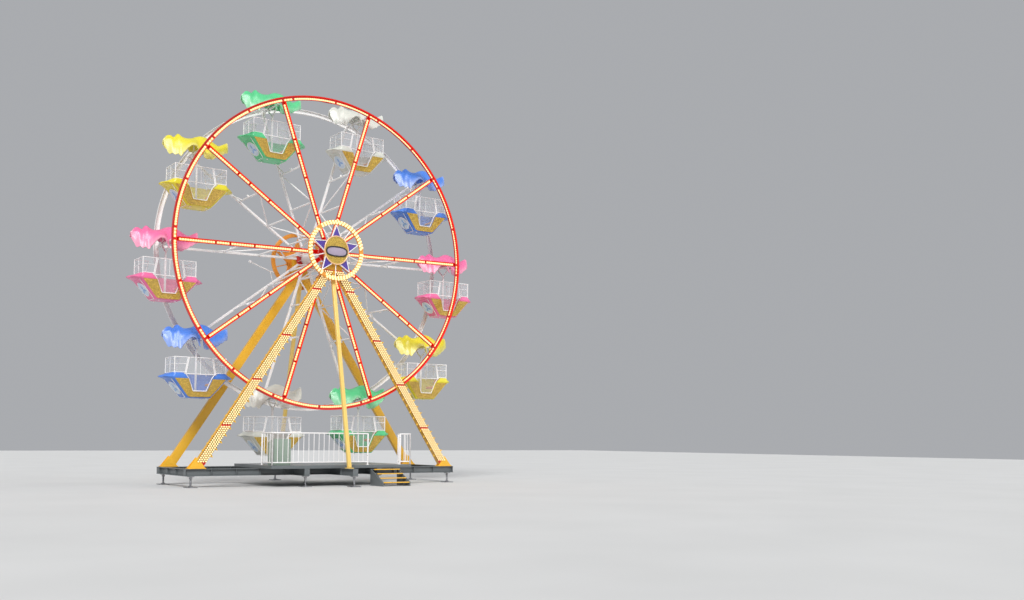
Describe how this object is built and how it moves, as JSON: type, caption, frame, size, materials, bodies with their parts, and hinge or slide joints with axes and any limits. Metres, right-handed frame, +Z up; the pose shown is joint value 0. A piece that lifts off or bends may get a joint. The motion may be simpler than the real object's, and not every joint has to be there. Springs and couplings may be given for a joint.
{
  "type": "ferris wheel",
  "caption": "Travelling ferris wheel: two rims on ladder spokes turn between A-frame towers, and level cabins with leaf-shaped canopies hang between the rims.",
  "frame": {"origin": "on the ground, straight below the middle of the axle, at the centre of the base", "axes": "+Z up, +X to the right across the face of the wheel, +Y along the axle to the back; the steps and the operator are at the front, at -Y"},
  "size_m": [14.7764, 7.36, 15.3269],
  "materials": {
    "red_steel": "gloss red paint on rolled channel",
    "white_steel": "satin white paint on welded tube",
    "yellow_steel": "gloss orange-yellow paint on box beams",
    "grey_steel": "grey chassis paint, chipped at the edges",
    "green_steel": "grey-green cabinet paint",
    "deck_plate": "aluminium tread plate, worn bright",
    "gold_trim": "gold moulded trim",
    "yellow_fibreglass": "yellow gelcoat",
    "green_fibreglass": "mint green gelcoat",
    "cream_fibreglass": "cream white gelcoat",
    "blue_fibreglass": "blue gelcoat",
    "pink_fibreglass": "pink gelcoat",
    "glitter_gold": "gold glitter flake in clear coat",
    "clear_sheet": "clear bent sheet",
    "warm_lamp": "warm lamp caps",
    "star_blue": "blue-violet star panels",
    "red_lens": "red translucent backing of the lamp strips",
    "black_rubber": "rubber feet and seals",
    "seat_orange": "padded bench vinyl"
  },
  "bodies": {
    "frame": {"front_tower": "yellow_steel", "rear_tower": "yellow_steel", "front_ring": "gold_trim", "rear_ring": "yellow_steel", "base_frame": "grey_steel", "deck": "deck_plate", "steps": "deck_plate", "left_railing": "white_steel", "right_railing": "white_steel", "control_desk": "green_steel"},
    "wheel": {"hub": "red_steel", "front_rim": "red_steel", "rear_rim": "white_steel", "spoke_frame_01": "white_steel", "spoke_frame_02": "white_steel", "spoke_frame_03": "white_steel", "spoke_frame_04": "white_steel", "spoke_frame_05": "white_steel", "spoke_frame_06": "white_steel", "spoke_frame_07": "white_steel", "spoke_frame_08": "white_steel", "spoke_frame_09": "white_steel", "spoke_frame_10": "white_steel"},
    "cabin_01": {"cabin_01_canopy": "yellow_fibreglass", "cabin_01_hanger": "white_steel", "cabin_01_tub": "yellow_fibreglass"},
    "cabin_02": {"cabin_02_canopy": "green_fibreglass", "cabin_02_hanger": "white_steel", "cabin_02_tub": "green_fibreglass"},
    "cabin_03": {"cabin_03_canopy": "cream_fibreglass", "cabin_03_hanger": "white_steel", "cabin_03_tub": "cream_fibreglass"},
    "cabin_04": {"cabin_04_canopy": "blue_fibreglass", "cabin_04_hanger": "white_steel", "cabin_04_tub": "blue_fibreglass"},
    "cabin_05": {"cabin_05_canopy": "pink_fibreglass", "cabin_05_hanger": "white_steel", "cabin_05_tub": "pink_fibreglass"},
    "cabin_06": {"cabin_06_canopy": "yellow_fibreglass", "cabin_06_hanger": "white_steel", "cabin_06_tub": "yellow_fibreglass"},
    "cabin_07": {"cabin_07_canopy": "green_fibreglass", "cabin_07_hanger": "white_steel", "cabin_07_tub": "green_fibreglass"},
    "cabin_08": {"cabin_08_canopy": "cream_fibreglass", "cabin_08_hanger": "white_steel", "cabin_08_tub": "cream_fibreglass"},
    "cabin_09": {"cabin_09_canopy": "blue_fibreglass", "cabin_09_hanger": "white_steel", "cabin_09_tub": "blue_fibreglass"},
    "cabin_10": {"cabin_10_canopy": "pink_fibreglass", "cabin_10_hanger": "white_steel", "cabin_10_tub": "pink_fibreglass"}
  },
  "joints": [
    {"name": "wheel_spin", "type": "hinge", "parent": "frame", "child": "wheel", "pos_m": [0, 0, 9], "axis": [0, 1, 0], "continuous": true},
    {"name": "cabin_01_swing", "type": "hinge", "parent": "wheel", "child": "cabin_01", "pos_m": [-4.93882, 0, 12.40706], "axis": [0, 1, 0], "continuous": true},
    {"name": "cabin_02_swing", "type": "hinge", "parent": "wheel", "child": "cabin_02", "pos_m": [-1.99297, 0, 14.65934], "axis": [0, 1, 0], "continuous": true},
    {"name": "cabin_03_swing", "type": "hinge", "parent": "wheel", "child": "cabin_03", "pos_m": [1.71413, 0, 14.74994], "axis": [0, 1, 0], "continuous": true},
    {"name": "cabin_04_swing", "type": "hinge", "parent": "wheel", "child": "cabin_04", "pos_m": [4.76649, 0, 12.64425], "axis": [0, 1, 0], "continuous": true},
    {"name": "cabin_05_swing", "type": "hinge", "parent": "wheel", "child": "cabin_05", "pos_m": [5.99821, 0, 9.14659], "axis": [0, 1, 0], "continuous": true},
    {"name": "cabin_06_swing", "type": "hinge", "parent": "wheel", "child": "cabin_06", "pos_m": [4.93882, 0, 5.59294], "axis": [0, 1, 0], "continuous": true},
    {"name": "cabin_07_swing", "type": "hinge", "parent": "wheel", "child": "cabin_07", "pos_m": [1.99297, 0, 3.34066], "axis": [0, 1, 0], "continuous": true},
    {"name": "cabin_08_swing", "type": "hinge", "parent": "wheel", "child": "cabin_08", "pos_m": [-1.71413, 0, 3.25007], "axis": [0, 1, 0], "continuous": true},
    {"name": "cabin_09_swing", "type": "hinge", "parent": "wheel", "child": "cabin_09", "pos_m": [-4.76649, 0, 5.35574], "axis": [0, 1, 0], "continuous": true},
    {"name": "cabin_10_swing", "type": "hinge", "parent": "wheel", "child": "cabin_10", "pos_m": [-5.99821, 0, 8.85341], "axis": [0, 1, 0], "continuous": true}
  ],
  "couplings": [
    {"joint": "cabin_01_swing", "follows": "wheel_spin", "ratio": -1},
    {"joint": "cabin_02_swing", "follows": "wheel_spin", "ratio": -1},
    {"joint": "cabin_03_swing", "follows": "wheel_spin", "ratio": -1},
    {"joint": "cabin_04_swing", "follows": "wheel_spin", "ratio": -1},
    {"joint": "cabin_05_swing", "follows": "wheel_spin", "ratio": -1},
    {"joint": "cabin_06_swing", "follows": "wheel_spin", "ratio": -1},
    {"joint": "cabin_07_swing", "follows": "wheel_spin", "ratio": -1},
    {"joint": "cabin_08_swing", "follows": "wheel_spin", "ratio": -1},
    {"joint": "cabin_09_swing", "follows": "wheel_spin", "ratio": -1},
    {"joint": "cabin_10_swing", "follows": "wheel_spin", "ratio": -1}
  ]
}
